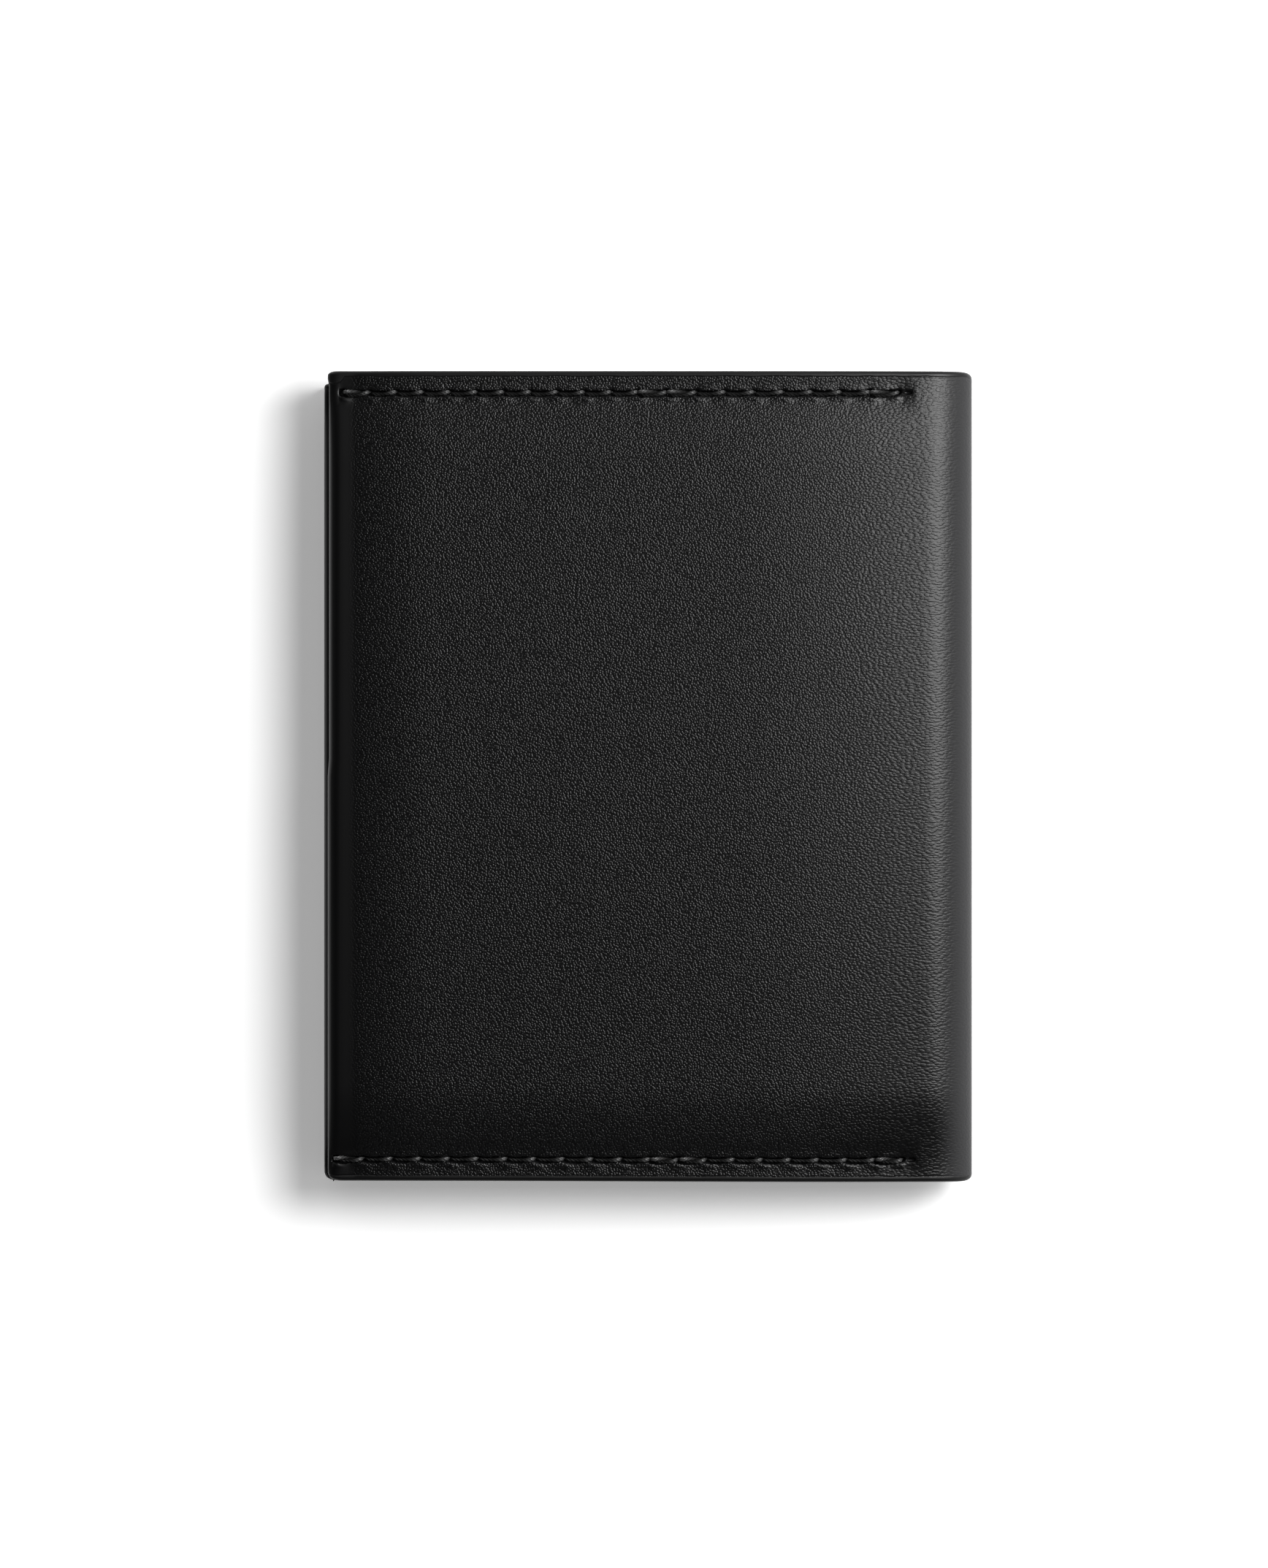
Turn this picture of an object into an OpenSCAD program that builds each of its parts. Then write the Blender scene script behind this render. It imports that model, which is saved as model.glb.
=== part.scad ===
// Bifold wallet: two leaves of layered leather joined by a flexible spine, lying closed on its back leaf.
// +X points at the spine, +Y along the fold and +Z up; the origin is under the middle of the closed wallet.

/* [Wallet] */
// Closed width, from the open edge to the outside of the spine
wallet_w = 80.2; // [76:0.1:90]
// Height along the fold
wallet_h = 100; // [96:0.5:110]
// How far the front leaf stops short of the back leaf at the open edge
leaf_setback = 0.6; // [0:0.1:1.5]
// Space between the two leaves when closed
leaf_gap = 0.5; // [0.4:0.1:1]

/* [Layers] */
// Thickness of the cover leather
cover_t = 1.2; // [1:0.1:1.6]
// Thickness of the stiffening board behind each cover
board_t = 0.4; // [0.3:0.1:0.6]
// Thickness of the woven lining
lining_t = 0.2; // [0.2:0.1:0.4]
// Thickness of the inner leather panels
panel_t = 0.8; // [0.7:0.1:1]
// Thickness of the paint on the cut edges
paint_t = 0.4; // [0.2:0.1:0.6]

/* [Pockets] */
// Clear height of each single-card slot in the back leaf
slot_gap = 0.9; // [0.8:0.1:1.2]
// Clear height of the card-stack pocket in the front leaf
pocket_gap = 4.4; // [4.2:0.1:6]
// Distance from the spine start to the mouth of the front slot
slot_front_mouth = 22; // [18:0.5:26]
// Distance from the spine start to the mouth of the rear slot
slot_rear_mouth = 12; // [9:0.5:16]
// Distance from the spine start to the mouth of the card-stack pocket
pocket_mouth = 13; // [9:0.5:24]
// Radius of the thumb notch in the mouth of the card-stack pocket
notch_r = 14; // [10:1:18]
// Depth of the thumb notch
notch_depth = 6; // [4:0.5:8]

/* [Seams] */
// Distance from one stitch hole to the next
stitch_pitch = 3.45; // [3:0.05:4]
// Width of the sewing thread
thread_w = 0.5; // [0.4:0.05:0.7]
// Number of stitches in each seam
stitch_count = 19; // [16:1:20]
// Distance of the top seams from the top edge
top_seam_inset = 2.3; // [2:0.1:3.5]
// Distance of the bottom seams from the bottom edge
bottom_seam_inset = 3; // [2:0.1:3.5]
// How deep the outer stitches sit below the face of the cover
stitch_recess = 0.1; // [0:0.05:0.2]

/* [Hidden] */
$fn = 64;
back_t = cover_t + board_t + lining_t + 2 * slot_gap + 2 * panel_t;
front_t = cover_t + board_t + lining_t + pocket_gap + panel_t;
total_t = back_t + leaf_gap + front_t;
// The spine turns half a circle in three equal folds, so its two strips and the covers' ends are sides of a
// regular polygon round that circle, and the middle fold is the outermost line of the wallet.
spine_r = total_t / 2;
fold_angle = 60;
mitre = tan(fold_angle / 2);
fold_gap = 0.12;
strip_w = 2 * spine_r * mitre;
spine_start = wallet_w / 2 - spine_r / cos(fold_angle / 2);
fold_x = spine_start + strip_w / 2;
// Lowest level of each layer
back_board_z = cover_t;
back_lining_z = back_board_z + board_t;
slot_rear_z = back_lining_z + lining_t + slot_gap;
slot_front_z = slot_rear_z + panel_t + slot_gap;
pocket_z = back_t + leaf_gap;
front_cover_z = total_t - cover_t;
front_board_z = front_cover_z - board_t;
front_lining_z = front_board_z - lining_t;
// The turned edges are half tubes, and the flat layers start at their centres.
back_turn_x = back_t / 2 - wallet_w / 2;
front_turn_x = front_t / 2 + leaf_setback - wallet_w / 2;
layer_end = spine_start - 0.5;
layer_h = wallet_h - 2 * paint_t;
// Seams
seam_start = front_turn_x + 0.4;
top_seam_y = wallet_h / 2 - top_seam_inset;
bottom_seam_y = bottom_seam_inset - wallet_h / 2;
groove_w = thread_w + 0.06;
groove_d = thread_w + stitch_recess;
inner_groove_d = thread_w - 0.1;
seam_w = stitch_count * stitch_pitch + thread_w;
dip_w = 0.3;
leather_black = [0.10, 0.10, 0.105];
panel_black = [0.14, 0.14, 0.145];

// Sweeps an outline drawn in X and Z along Y, centred on y.
module along_y(h, y = 0) {
    translate([0, y, 0]) rotate([90, 0, 0]) linear_extrude(h, center = true) children();
}

// Turns a shape drawn on the back leaf's side over to the front leaf's side.
module upper_half() {
    translate([0, 0, total_t]) mirror([0, 0, 1]) children();
}

// A flat layer of a leaf from x0 to x1, with its underside at z.
module layer(x0, x1, z, t) {
    translate([x0, -layer_h / 2, z]) cube([x1 - x0, layer_h, t]);
}

// The square holes that both seams of a leaf punch through a layer between z and z + t.
module stitch_holes(z, t) {
    for (y = [top_seam_y, bottom_seam_y])
        for (i = [0:stitch_count])
            translate([seam_start + i * stitch_pitch + (thread_w - groove_w) / 2, y - groove_w / 2, z - 0.1])
                cube([groove_w, groove_w, t + 0.2]);
}

// The channels that the outer and inner stitches lie in, of depth d up from z.
module stitch_grooves(z, d) {
    for (y = [top_seam_y, bottom_seam_y])
        translate([seam_start + (thread_w - groove_w) / 2, y - groove_w / 2, z])
            cube([seam_w - thread_w + groove_w, groove_w, d]);
}

// Two threads locked in every hole: a run of stitches on each face, joined by the legs through the layers.
module seam(y, z0, z1) {
    along_y(thread_w, y) difference() {
        translate([seam_start, z0]) square([seam_w, z1 - z0]);
        for (i = [0:stitch_count - 1])
            translate([seam_start + thread_w + i * stitch_pitch, z0 + thread_w])
                square([stitch_pitch - thread_w, z1 - z0 - 2 * thread_w]);
        for (i = [1:stitch_count - 1], z = [z0, z1])
            translate([seam_start + thread_w / 2 + i * stitch_pitch, z]) rotate(45)
                square(dip_w, center = true);
    }
}

// The lower side of the spine polygon, between depths d0 and d1 under the outer face. It hinges on its outer
// corners, and its ends are mitred so that the corners open as the wallet does.
module spine_strip(d0, d1) {
    along_y(wallet_h) translate([fold_x, 0]) rotate(fold_angle) polygon([
        [fold_gap + d0 * mitre, d0],
        [strip_w - fold_gap - d0 * mitre, d0],
        [strip_w - fold_gap - d1 * mitre, d1],
        [fold_gap + d1 * mitre, d1]
    ]);
}

// The outer panel of a leaf, ending at the first fold of the spine with the same mitre.
module cover_panel(x0) {
    along_y(wallet_h - 2 * paint_t) polygon([
        [x0, 0],
        [fold_x - fold_gap, 0],
        [fold_x - fold_gap - cover_t * mitre, cover_t],
        [x0, cover_t]
    ]);
    for (side = [-1, 1])
        along_y(paint_t, side * (wallet_h - paint_t) / 2) polygon([
            [layer_end + fold_gap, 0],
            [fold_x - fold_gap, 0],
            [fold_x - fold_gap - cover_t * mitre, cover_t],
            [layer_end + fold_gap, cover_t]
        ]);
}

// The cover turned in round the open edge: a half tube that thins from the cover to the inner panel.
module turned_edge(x, z, t, outer_wall, inner_wall) {
    hollow_r = (t - outer_wall - inner_wall) / 2;
    along_y(wallet_h) translate([x, z]) difference() {
        circle(t / 2);
        translate([0, t / 2 - inner_wall - hollow_r]) circle(hollow_r);
        translate([0, -t]) square([t, 2 * t]);
    }
}

// Paint over the cut edges of a leaf's layers, with bevelled outer corners.
module edge_paint(x, side, z, t) {
    bevel = paint_t / 2;
    translate([x, side * layer_h / 2, z]) rotate([90, 0, 90]) linear_extrude(layer_end - x)
        scale([side, 1]) polygon([
            [0, 0],
            [paint_t - bevel, 0],
            [paint_t, bevel],
            [paint_t, t - bevel],
            [paint_t - bevel, t],
            [0, t]
        ]);
}

// Back leaf

module back_cover() {
    color(leather_black) difference() {
        cover_panel(back_turn_x);
        stitch_holes(0, cover_t);
        stitch_grooves(-0.1, groove_d + 0.1);
    }
}

module back_board() {
    color("dimgray") difference() {
        layer(back_turn_x, layer_end, back_board_z, board_t);
        stitch_holes(back_board_z, board_t);
    }
}

module back_lining() {
    color("#26262a") difference() {
        layer(back_turn_x, layer_end, back_lining_z, lining_t);
        stitch_holes(back_lining_z, lining_t);
    }
}

module back_turned_edge() {
    color(leather_black) turned_edge(back_turn_x, back_t / 2, back_t, cover_t, panel_t);
}

module back_slot_rear() {
    color(panel_black) difference() {
        layer(back_turn_x + 0.2, spine_start - slot_rear_mouth, slot_rear_z, panel_t);
        stitch_holes(slot_rear_z, panel_t);
    }
}

module back_slot_front() {
    color(panel_black) difference() {
        layer(back_turn_x, spine_start - slot_front_mouth, slot_front_z, panel_t);
        stitch_holes(slot_front_z, panel_t);
        stitch_grooves(slot_front_z + panel_t - inner_groove_d, inner_groove_d + 0.1);
    }
}

module back_top_edge_paint() {
    color("black") edge_paint(back_turn_x, 1, 0, back_t);
}

module back_bottom_edge_paint() {
    color("black") edge_paint(back_turn_x, -1, 0, back_t);
}

module back_top_seam() {
    color("#303030") seam(top_seam_y, stitch_recess, back_t - inner_groove_d + thread_w);
}

module back_bottom_seam() {
    color("#303030") seam(bottom_seam_y, stitch_recess, back_t - inner_groove_d + thread_w);
}

// Spine

module spine_cover_lower() {
    color(leather_black) spine_strip(0, cover_t);
}

module spine_cover_upper() {
    color(leather_black) upper_half() spine_strip(0, cover_t);
}

module spine_lining_lower() {
    color("#26262a") spine_strip(cover_t, cover_t + lining_t);
}

module spine_lining_upper() {
    color("#26262a") upper_half() spine_strip(cover_t, cover_t + lining_t);
}

// Front leaf

module front_cover() {
    color(leather_black) difference() {
        upper_half() cover_panel(front_turn_x);
        stitch_holes(front_cover_z, cover_t);
        stitch_grooves(total_t - groove_d, groove_d + 0.1);
    }
}

module front_board() {
    color("dimgray") difference() {
        layer(front_turn_x, layer_end, front_board_z, board_t);
        stitch_holes(front_board_z, board_t);
    }
}

module front_lining() {
    color("#26262a") difference() {
        layer(front_turn_x, layer_end, front_lining_z, lining_t);
        stitch_holes(front_lining_z, lining_t);
    }
}

module front_turned_edge() {
    color(leather_black) upper_half() turned_edge(front_turn_x, front_t / 2, front_t, cover_t, panel_t);
}

module front_pocket() {
    mouth = spine_start - pocket_mouth;
    color(panel_black) difference() {
        layer(front_turn_x, mouth, pocket_z, panel_t);
        stitch_holes(pocket_z, panel_t);
        stitch_grooves(pocket_z - 0.1, inner_groove_d + 0.1);
        translate([mouth + notch_r - notch_depth, 0, pocket_z - 0.1]) cylinder(r = notch_r, h = panel_t + 0.2);
    }
}

module front_top_edge_paint() {
    color("black") edge_paint(front_turn_x, 1, pocket_z, front_t);
}

module front_bottom_edge_paint() {
    color("black") edge_paint(front_turn_x, -1, pocket_z, front_t);
}

module front_top_seam() {
    color("#303030") seam(top_seam_y, pocket_z + inner_groove_d - thread_w, total_t - stitch_recess);
}

module front_bottom_seam() {
    color("#303030") seam(bottom_seam_y, pocket_z + inner_groove_d - thread_w, total_t - stitch_recess);
}

back_cover();
back_board();
back_lining();
back_turned_edge();
back_slot_rear();
back_slot_front();
back_top_edge_paint();
back_bottom_edge_paint();
back_top_seam();
back_bottom_seam();
spine_cover_lower();
spine_cover_upper();
spine_lining_lower();
spine_lining_upper();
front_cover();
front_board();
front_lining();
front_turned_edge();
front_pocket();
front_top_edge_paint();
front_bottom_edge_paint();
front_top_seam();
front_bottom_seam();
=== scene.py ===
import math

import bpy
import numpy as np
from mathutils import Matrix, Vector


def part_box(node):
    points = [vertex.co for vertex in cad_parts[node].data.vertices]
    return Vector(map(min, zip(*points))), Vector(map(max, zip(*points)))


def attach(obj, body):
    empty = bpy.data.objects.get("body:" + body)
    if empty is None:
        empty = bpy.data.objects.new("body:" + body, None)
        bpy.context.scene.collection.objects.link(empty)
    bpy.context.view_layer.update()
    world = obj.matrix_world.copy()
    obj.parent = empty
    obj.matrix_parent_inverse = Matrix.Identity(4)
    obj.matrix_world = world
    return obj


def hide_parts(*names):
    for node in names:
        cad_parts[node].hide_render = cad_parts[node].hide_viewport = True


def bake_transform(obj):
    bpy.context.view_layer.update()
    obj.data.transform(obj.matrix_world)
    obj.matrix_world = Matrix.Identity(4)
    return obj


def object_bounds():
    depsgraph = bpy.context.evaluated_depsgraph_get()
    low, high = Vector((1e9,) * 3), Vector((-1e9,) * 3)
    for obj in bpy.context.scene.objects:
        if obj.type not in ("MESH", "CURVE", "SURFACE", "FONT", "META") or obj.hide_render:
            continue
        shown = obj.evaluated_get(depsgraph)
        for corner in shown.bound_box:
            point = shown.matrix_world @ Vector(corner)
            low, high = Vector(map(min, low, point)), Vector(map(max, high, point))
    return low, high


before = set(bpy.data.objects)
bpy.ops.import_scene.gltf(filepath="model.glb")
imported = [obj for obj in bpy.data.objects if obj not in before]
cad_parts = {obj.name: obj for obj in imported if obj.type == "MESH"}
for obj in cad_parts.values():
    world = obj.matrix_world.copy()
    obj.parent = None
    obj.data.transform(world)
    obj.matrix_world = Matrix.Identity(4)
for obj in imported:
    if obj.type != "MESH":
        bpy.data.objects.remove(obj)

mm = 0.001
cadLow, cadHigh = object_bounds()
print("frame loaded:", len(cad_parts), "nodes")


# Small tools for shaping meshes.

def pickOnly(piece):
    bpy.ops.object.select_all(action="DESELECT")
    piece.select_set(True)
    bpy.context.view_layer.objects.active = piece


def readPoints(piece):
    points = np.empty(len(piece.data.vertices) * 3)
    piece.data.vertices.foreach_get("co", points)
    return points.reshape(-1, 3)


def writePoints(piece, points):
    piece.data.vertices.foreach_set("co", points.astype(np.float32).ravel())
    piece.data.update()


def readEdges(piece):
    ends = np.empty(len(piece.data.edges) * 2, dtype=np.int32)
    piece.data.edges.foreach_get("vertices", ends)
    return ends.reshape(-1, 2)


def editEdges(piece, chosen):
    # leaves the piece in edit mode with only the chosen edges picked
    pickOnly(piece)
    bpy.ops.object.mode_set(mode="EDIT")
    bpy.ops.mesh.select_mode(type="EDGE")
    bpy.ops.mesh.select_all(action="DESELECT")
    bpy.ops.object.mode_set(mode="OBJECT")
    piece.data.edges.foreach_set("select", chosen)
    bpy.ops.object.mode_set(mode="EDIT")


def bevelEdges(piece, chosen, width, segments):
    editEdges(piece, chosen)
    bpy.ops.mesh.bevel(offset=width, segments=segments, profile=0.5, affect="EDGES")
    bpy.ops.object.mode_set(mode="OBJECT")


def applyModifier(piece, kind, **settings):
    pickOnly(piece)
    bpy.ops.object.modifier_add(type=kind)
    modifier = piece.modifiers[-1]
    for key, value in settings.items():
        setattr(modifier, key, value)
    bpy.ops.object.modifier_apply(modifier=modifier.name)


def faceOutward(piece):
    pickOnly(piece)
    bpy.ops.object.mode_set(mode="EDIT")
    bpy.ops.mesh.select_all(action="SELECT")
    bpy.ops.mesh.normals_make_consistent(inside=False)
    bpy.ops.object.mode_set(mode="OBJECT")


def smoothShade(piece, degrees=50):
    pickOnly(piece)
    bpy.ops.object.shade_smooth_by_angle(angle=math.radians(degrees))


def joinPieces(name, parts):
    pickOnly(parts[0])
    for part in parts:
        part.select_set(True)
    bpy.ops.object.join()
    parts[0].name = name
    parts[0].data.name = name
    return parts[0]


def copyPiece(piece):
    twin = piece.copy()
    twin.data = piece.data.copy()
    bpy.context.scene.collection.objects.link(twin)
    return twin


def ramp(x):
    x = np.clip(x, 0, 1)
    return x * x * (3 - 2 * x)


# The wallet's sizes, taken from the frame.

halfWidth, halfHeight, fullThick = cadHigh.x, cadHigh.y, cadHigh.z
midZ = fullThick / 2
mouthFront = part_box("front_pocket")[1].x
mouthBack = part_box("back_slot_front")[1].x
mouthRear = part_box("back_slot_rear")[1].x
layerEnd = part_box("front_board")[1].x

spine = {
    "cut": 4.0 * mm,  # from the outermost line to where the strips of leather meet
    "tuck": 0.45 * mm,  # how far the top and bottom edges draw in round the bend
    "tuckReach": 2.9 * mm,
}

skin = {
    "cover": 1.2 * mm,  # thicknesses of the materials
    "panel": 0.8 * mm,
    "board": 0.4 * mm,
    "lining": 0.2 * mm,
    "edgeRound": 0.42 * mm,
    "gap": 0.02 * mm,  # left between one layer and the next
}

# the shape of the faces: how far they sink, and from which height on the seams hold them down
face = {
    "dome": 0.30 * mm,
    "heldFrom": 38.5 * mm,
    "heldOver": 11 * mm,
    "spineDrop": 1.5 * mm,
    "spineFrom": 10 * mm,
    "spineOver": 30 * mm,
    "curvePower": 2.2,
    "edgeDrop": 0.55 * mm,
    "edgeFrom": -27 * mm,
    "edgeOver": 9 * mm,
}

frontLeaf = {
    "body": "front_leaf",
    "strip": "spine_upper",
    "flip": False,
    "thick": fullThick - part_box("front_pocket")[0].z,
    "left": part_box("front_turned_edge")[0].x,
    "turnWidth": 3.0 * mm,
    "turnRadius": 1.3 * mm,
    "dropTop": 0.30 * mm,  # how far the seams pull the face down
    "dropBottom": 0.90 * mm,
    "innerRise": 2.2 * mm,  # and the inside up
    "topShift": 0.0,  # how far the open edge lies out of square
    "bottomShift": 0.17 * mm,
    "bead": 0.16 * mm,  # how far the paint stands out at the top corner
    "cornerTop": 0.6 * mm,  # corner radii
    "cornerBottom": 1.2 * mm,
    "mouth": mouthFront,
    "notchRadius": 14 * mm,
    "notchDepth": 6 * mm,
}

backLeaf = {
    "body": "back_leaf",
    "strip": "spine_lower",
    "flip": True,
    "thick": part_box("back_slot_front")[1].z,
    "left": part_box("back_turned_edge")[0].x,
    "turnWidth": 2.5 * mm,
    "turnRadius": 1.0 * mm,
    "dropTop": 0.30 * mm,
    "dropBottom": 0.50 * mm,
    "innerRise": 1.2 * mm,
    "topShift": -1.25 * mm,
    "bottomShift": 0.0,
    "bead": 0.0,
    "cornerTop": 0.5 * mm,
    "cornerBottom": 1.2 * mm,
    "mouth": mouthBack,
    "notchRadius": 14 * mm,
    "notchDepth": 0.0,
}

# The bend of the spine: nearly upright at the outermost line, it turns fastest at its two shoulders.
curveStep = np.linspace(0, 1.0, 1200)
curveTurn = math.pi / 2 * ramp(curveStep)
stepSize = curveStep[1]


def addUp(slope):
    return np.concatenate([[0], np.cumsum((slope[1:] + slope[:-1]) / 2 * stepSize)])


curveRise, curveIn = addUp(np.cos(curveTurn)), addUp(np.sin(curveTurn))
curveScale = midZ / curveRise[-1]
curveS, curveX, curveZ = curveStep * curveScale, curveIn * curveScale, curveRise / curveRise[-1]


def alongTop(x):
    # distance along the leather from the outermost line of the spine to a place x on the face of a leaf
    inward = halfWidth - x
    bent = np.interp(inward, curveX, curveS)
    return np.where(inward < curveX[-1], bent, inward - curveX[-1] + curveS[-1])


def turnedEdge(leaf):
    # section of the turned edge: along the top, round the corner, down, round again and back in
    width, radius, half = leaf["turnWidth"], leaf["turnRadius"], leaf["thick"] / 2
    angle = np.linspace(0, math.pi / 2, 24)
    down = np.linspace(0, 1, 12)[1:]
    out = np.concatenate([[0], width - radius + radius * np.sin(angle), np.full(len(down), width)])
    up = np.concatenate([[half], half - radius + radius * np.cos(angle), (half - radius) * (1 - down)])
    out, up = np.concatenate([out, out[-2::-1]]), np.concatenate([up, -up[-2::-1]])
    length = np.concatenate([[0], np.cumsum(np.hypot(np.diff(out), np.diff(up)))])
    return length, out, up / half


for leaf in (frontLeaf, backLeaf):
    leaf["turnX"] = leaf["left"] + leaf["turnWidth"]
    leaf["turnStart"] = float(alongTop(leaf["turnX"]))
    leaf["turn"] = turnedEdge(leaf)
    leaf["turnLength"] = float(leaf["turn"][0][-1])
    leaf["underStart"] = leaf["turnStart"] + leaf["turnLength"]
    leaf["end"] = leaf["underStart"] + leaf["mouth"] - leaf["turnX"]


def alongUnder(leaf, x):
    return leaf["underStart"] + x - leaf["turnX"]


def outerDrop(x, y, leaf):
    # the face of a leaf is gently domed, and is pulled down where the seams hold it
    out = np.abs(y) / halfHeight
    seamDrop = np.where(y > 0, leaf["dropTop"], leaf["dropBottom"])
    held = ramp((np.abs(y) - face["heldFrom"]) / face["heldOver"])
    dome = face["dome"] * out ** face["curvePower"] + seamDrop * held
    spineward = np.clip((x - face["spineFrom"]) / face["spineOver"], 0, 1)
    edgeward = np.clip((face["edgeFrom"] - x) / face["edgeOver"], 0, 1)
    return dome + face["spineDrop"] * spineward ** face["curvePower"] + face["edgeDrop"] * edgeward ** 2


def innerRise(y, leaf):
    return leaf["innerRise"] * ramp((np.abs(y) - face["heldFrom"]) / (10.5 * mm))


def surface(u, v, leaf, corners=True):
    # a point on the grain side of the leather, which runs over the spine, across the face, round the open
    # edge and back inside
    s = np.abs(u)
    inward = np.where(s < curveS[-1], np.interp(s, curveS, curveX), s - curveS[-1] + curveX[-1])
    x = halfWidth - inward
    top = fullThick - outerDrop(np.maximum(x, leaf["turnX"]), v, leaf)
    low = fullThick - leaf["thick"] + innerRise(v, leaf)
    z = midZ + np.sign(u) * np.interp(s, curveS, curveZ) * (top - midZ)

    length, turnOut, turnUp = leaf["turn"]
    past = s - leaf["turnStart"]
    turning = past > 0
    corner = np.where(v > 0, leaf["cornerTop"], leaf["cornerBottom"])
    into = np.clip(np.abs(v) - (halfHeight - corner), 0, corner)
    inset = corner - np.sqrt(corner ** 2 - into ** 2)
    # the paint stands a little proud at the corner, and the leather draws in below it
    inset = inset + np.where(v > 0, leaf["bead"], 0) * ramp((halfHeight - 1.1 * mm - v) / (0.7 * mm))
    inset = inset if corners else 0
    out = np.interp(past, length, turnOut) * (1 - inset / leaf["turnWidth"])
    x = np.where(turning, leaf["turnX"] - out, x)
    z = np.where(turning, (top + low) / 2 + (top - low) / 2 * np.interp(past, length, turnUp), z)

    under = s > leaf["underStart"]
    x = np.where(under, leaf["turnX"] + s - leaf["underStart"], x)
    z = np.where(under, low, z)

    tuck = spine["tuck"] / halfHeight * np.exp(-(s / spine["tuckReach"]) ** 2)
    share = ramp((halfWidth - x - 12 * mm) / (60 * mm))
    shift = np.where(v > 0, leaf["topShift"], leaf["bottomShift"]) * np.abs(v) / halfHeight * share
    return np.stack([x, v * (1 - tuck) + shift, z], axis=1)


def foldPoints(flat, leaf):
    # flat x is the distance along the leather, y the height and z how far above the grain side
    u, v, lift = flat[:, 0], flat[:, 1], flat[:, 2]
    step = 0.03 * mm
    alongU = surface(u + step, v, leaf, False) - surface(u - step, v, leaf, False)
    alongV = surface(u, v + step, leaf, False) - surface(u, v - step, leaf, False)
    out = np.cross(alongV, alongU)
    out /= np.linalg.norm(out, axis=1)[:, None]
    folded = surface(u, v, leaf) + out * lift[:, None]
    if leaf["flip"]:
        folded[:, 2] = fullThick - folded[:, 2]
    return folded


def foldPiece(piece, leaf):
    writePoints(piece, foldPoints(readPoints(piece), leaf))
    faceOutward(piece)
    smoothShade(piece)


def foldSpine(piece):
    # a strip over the spine meets each leaf's own leather at its two long edges
    points = readPoints(piece)
    front, back = foldPoints(points, frontLeaf), foldPoints(points * [-1, 1, 1], backLeaf)
    writePoints(piece, np.where(points[:, :1] >= 0, front, back))
    faceOutward(piece)
    smoothShade(piece)


# Cutting flat pieces of leather, cloth and board.

def spread(*stops):
    # positions from stop to stop, each run given as (from, to, spacing)
    runs = []
    for start, end, spacing in stops:
        count = max(1, round(abs(end - start) / spacing))
        runs.append(np.linspace(start, end, count + 1)[:-1])
    runs.append(np.array([stops[-1][1]]))
    return np.concatenate(runs)


def cutFlat(name, columns, rows, thickness):
    # a rectangle of material lying flat, its upper face at height nought
    bpy.ops.object.select_all(action="DESELECT")
    bpy.ops.mesh.primitive_grid_add(x_subdivisions=len(columns) - 1, y_subdivisions=len(rows) - 1, size=1)
    piece = bpy.context.object
    piece.name = name
    piece.data.name = name
    points = readPoints(piece)
    points[:, 0] = np.interp(points[:, 0], np.linspace(-0.5, 0.5, len(columns)), columns)
    points[:, 1] = np.interp(points[:, 1], np.linspace(-0.5, 0.5, len(rows)), rows)
    writePoints(piece, points)
    applyModifier(piece, "SOLIDIFY", thickness=thickness, offset=-1)
    return piece


def roundRims(piece, width, segments, ends=()):
    # rounds the long rims, and the short rims at the x places in ends
    points, edges = readPoints(piece), readEdges(piece)
    a, b = points[edges[:, 0]], points[edges[:, 1]]
    tiny = 1e-6
    flat = np.abs(a[:, 2] - b[:, 2]) < tiny
    highY, lowY = points[:, 1].max(), points[:, 1].min()
    chosen = np.zeros(len(edges), dtype=bool)
    for y in (highY, lowY):
        chosen |= flat & (np.abs(a[:, 1] - y) < tiny) & (np.abs(b[:, 1] - y) < tiny)
    for x in ends:
        chosen |= flat & (np.abs(a[:, 0] - x) < tiny) & (np.abs(b[:, 0] - x) < tiny)
    bevelEdges(piece, chosen, width, segments)


grain = {
    "pebble": 0.27 * mm,
    "stretch": 1.1,  # how much longer the pebbles are on the bend
    "stretchTo": 24 * mm,
    "stretchFade": 16 * mm,
}


def grainAlong(u):
    # pebbles are round on the leaves and drawn out across the bend of the spine
    far = np.linspace(0, 0.2, 4001)
    stretched = ramp((grain["stretchTo"] - far) / grain["stretchFade"])
    length = grain["pebble"] * (1 + grain["stretch"] * stretched)
    count = np.concatenate([[0], np.cumsum(2 * np.diff(far) / (length[1:] + length[:-1]))])
    return np.sign(u) * np.interp(np.abs(u), far, count)


def writeMap(piece, name, uv):
    layer = piece.data.uv_layers.get(name) or piece.data.uv_layers.new(name=name)
    layer.data.foreach_set("uv", uv.astype(np.float32).ravel())


def markSkin(piece, leaf):
    # the leather is ironed smooth on the turned edge, and the paint reaches further in at its top corner
    points = readPoints(piece)
    u, v = np.abs(points[:, 0]), points[:, 1]
    past = u - leaf["turnStart"]
    smooth = ramp((past + 1.2 * mm) / (1.7 * mm))
    smooth *= ramp((leaf["turnLength"] + 1 * mm - past) / (2 * mm))
    edge = leaf["turnWidth"] - leaf["turnRadius"] + 0.8 * mm
    dip = 0.8 * np.clip(1 - ((past - edge) / (1.5 * mm)) ** 2, 0, 1) ** 0.5 * (v > 0)
    for name, values in (("grainShow", 1 - smooth), ("paintDip", dip)):
        attribute = piece.data.attributes.new(name, "FLOAT", "POINT")
        attribute.data.foreach_set("value", values.astype(np.float32))


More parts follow.
